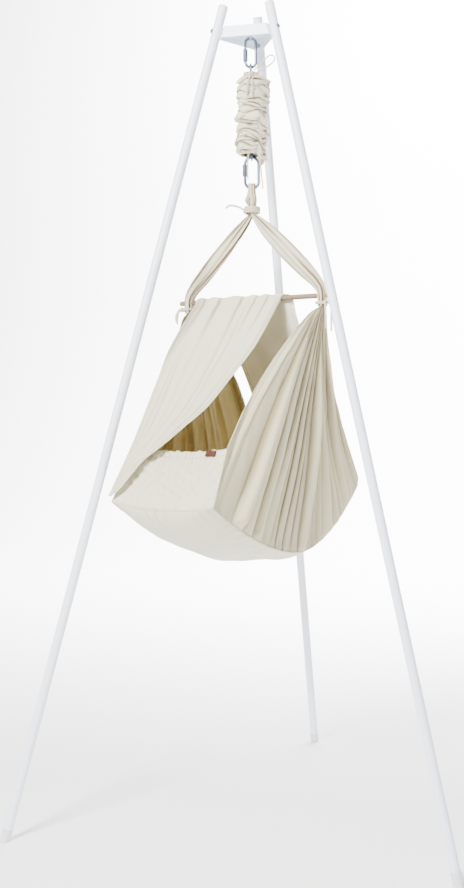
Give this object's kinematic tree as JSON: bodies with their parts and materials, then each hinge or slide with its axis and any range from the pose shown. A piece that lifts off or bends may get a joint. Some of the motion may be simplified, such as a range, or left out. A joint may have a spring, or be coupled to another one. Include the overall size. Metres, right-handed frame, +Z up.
{
  "type": "baby hammock with tripod stand",
  "caption": "Baby hammock: a gathered cotton cradle with a veil, slung from a wooden spreader bar, quick links and a covered spring under a white tubular tripod.",
  "frame": {"origin": "on the floor, under the middle of the part's bounding box, which runs from the cradle's near corner to the back foot", "axes": "+Z up; +Y towards the back leg; +X to the right of someone who faces the stand from the front. The tripod's plumb line, on which the cradle hangs, is at x 0, y -0.130."},
  "size_m": [1.1134, 1.0223, 1.9528],
  "materials": {
    "top_plate": "smooth white powder coat",
    "eye_bolt": "bright zinc plate",
    "eye_washer": "blue-grey zinc plate",
    "eye_nut": "blue-grey zinc plate",
    "leg_upper_left": "smooth white powder coat",
    "leg_lower_left": "smooth white powder coat",
    "leg_spigot_left": "blue-grey zinc plate",
    "top_plug_left": "moulded",
    "foot_cap_left": "matt light grey",
    "leg_bolt_left": "blue-grey zinc plate",
    "leg_nut_left": "blue-grey zinc plate",
    "leg_upper_right": "smooth white powder coat",
    "leg_lower_right": "smooth white powder coat",
    "leg_spigot_right": "blue-grey zinc plate",
    "top_plug_right": "moulded",
    "foot_cap_right": "matt light grey",
    "leg_bolt_right": "blue-grey zinc plate",
    "leg_nut_right": "blue-grey zinc plate",
    "leg_upper_back": "smooth white powder coat",
    "leg_lower_back": "smooth white powder coat",
    "leg_spigot_back": "blue-grey zinc plate",
    "top_plug_back": "moulded",
    "foot_cap_back": "matt light grey",
    "leg_bolt_back": "blue-grey zinc plate",
    "leg_nut_back": "blue-grey zinc plate",
    "upper_link": "blue-grey zinc plate",
    "upper_link_sleeve": "blue-grey zinc plate",
    "spring": "blue-grey zinc plate",
    "safety_cord": "braided cord",
    "spring_cover": "undyed cotton weave",
    "cover_cord_knot": "cotton cord",
    "cover_cord_loop": "cotton cord",
    "cover_cord_end_a": "cotton cord",
    "cover_cord_end_b": "cotton cord",
    "lower_link": "blue-grey zinc plate",
    "cover_low_cord_a": "cotton cord",
    "cover_low_cord_b": "cotton cord",
    "lower_link_sleeve": "blue-grey zinc plate",
    "sling": "undyed cotton weave",
    "top_tie": "cotton cord",
    "top_tie_end": "cotton cord",
    "bar_tie_left": "cotton cord",
    "bar_tie_right": "cotton cord",
    "left_tie_end_a": "cotton cord",
    "left_tie_end_b": "cotton cord",
    "right_tie_end_a": "cotton cord",
    "right_tie_end_b": "cotton cord",
    "spreader_bar": "plain round hardwood, open end grain",
    "side_panel_left": "undyed cotton weave",
    "side_panel_right": "undyed cotton weave",
    "end_wall_near": "undyed cotton weave",
    "end_wall_far": "undyed cotton weave",
    "base_sling": "undyed cotton weave",
    "mattress": "cotton cover over a soft filling",
    "veil": "undyed cotton weave",
    "leather_tag": "bare brown leather"
  },
  "bodies": {
    "stand": {"top_plate": "top_plate", "eye_bolt": "eye_bolt", "eye_washer": "eye_washer", "eye_nut": "eye_nut", "leg_upper_left": "leg_upper_left", "leg_lower_left": "leg_lower_left", "leg_spigot_left": "leg_spigot_left", "top_plug_left": "top_plug_left", "foot_cap_left": "foot_cap_left", "leg_bolt_left": "leg_bolt_left", "leg_nut_left": "leg_nut_left", "leg_upper_right": "leg_upper_right", "leg_lower_right": "leg_lower_right", "leg_spigot_right": "leg_spigot_right", "top_plug_right": "top_plug_right", "foot_cap_right": "foot_cap_right", "leg_bolt_right": "leg_bolt_right", "leg_nut_right": "leg_nut_right", "leg_upper_back": "leg_upper_back", "leg_lower_back": "leg_lower_back", "leg_spigot_back": "leg_spigot_back", "top_plug_back": "top_plug_back", "foot_cap_back": "foot_cap_back", "leg_bolt_back": "leg_bolt_back", "leg_nut_back": "leg_nut_back"},
    "upper_link": {"upper_link": "upper_link"},
    "upper_sleeve": {"upper_link_sleeve": "upper_link_sleeve"},
    "spring_unit": {"spring": "spring", "safety_cord": "safety_cord", "spring_cover": "spring_cover", "cover_cord_knot": "cover_cord_knot", "cover_cord_loop": "cover_cord_loop", "cover_cord_end_a": "cover_cord_end_a", "cover_cord_end_b": "cover_cord_end_b"},
    "lower_link": {"lower_link": "lower_link", "cover_low_cord_a": "cover_low_cord_a", "cover_low_cord_b": "cover_low_cord_b"},
    "lower_sleeve": {"lower_link_sleeve": "lower_link_sleeve"},
    "cradle": {"sling": "sling", "top_tie": "top_tie", "top_tie_end": "top_tie_end", "bar_tie_left": "bar_tie_left", "bar_tie_right": "bar_tie_right", "left_tie_end_a": "left_tie_end_a", "left_tie_end_b": "left_tie_end_b", "right_tie_end_a": "right_tie_end_a", "right_tie_end_b": "right_tie_end_b", "spreader_bar": "spreader_bar", "side_panel_left": "side_panel_left", "side_panel_right": "side_panel_right", "end_wall_near": "end_wall_near", "end_wall_far": "end_wall_far", "base_sling": "base_sling", "mattress": "mattress", "veil": "veil", "leather_tag": "leather_tag"}
  },
  "joints": [
    {"name": "link_swing", "type": "hinge", "parent": "stand", "child": "upper_link", "pos_m": [0, -0.12984, 1.8782], "axis": [-0.2419, 0.9703, 0], "range_deg": [-2, 2]},
    {"name": "upper_sleeve_slide", "type": "slide", "parent": "upper_link", "child": "upper_sleeve", "axis": [0, 0, 1], "range_m": [0, 0.0105]},
    {"name": "spring_swing", "type": "hinge", "parent": "upper_link", "child": "spring_unit", "pos_m": [0, -0.12984, 1.81975], "axis": [0.9703, 0.2419, 0], "range_deg": [-1.5, 1.5]},
    {"name": "bounce", "type": "slide", "parent": "spring_unit", "child": "lower_link", "axis": [0, 0, -1], "range_m": [0, 0.08], "stiffness_N_per_m": 1000, "springref_m": -0.09, "deforming": ["spring", "safety_cord", "spring_cover"]},
    {"name": "lower_sleeve_slide", "type": "slide", "parent": "lower_link", "child": "lower_sleeve", "axis": [0, 0, -1], "range_m": [0, 0.01]},
    {"name": "cradle_swing", "type": "hinge", "parent": "lower_link", "child": "cradle", "pos_m": [0, -0.12984, 1.5458], "axis": [0.9703, 0.2419, 0], "range_deg": [-1, 1]}
  ]
}
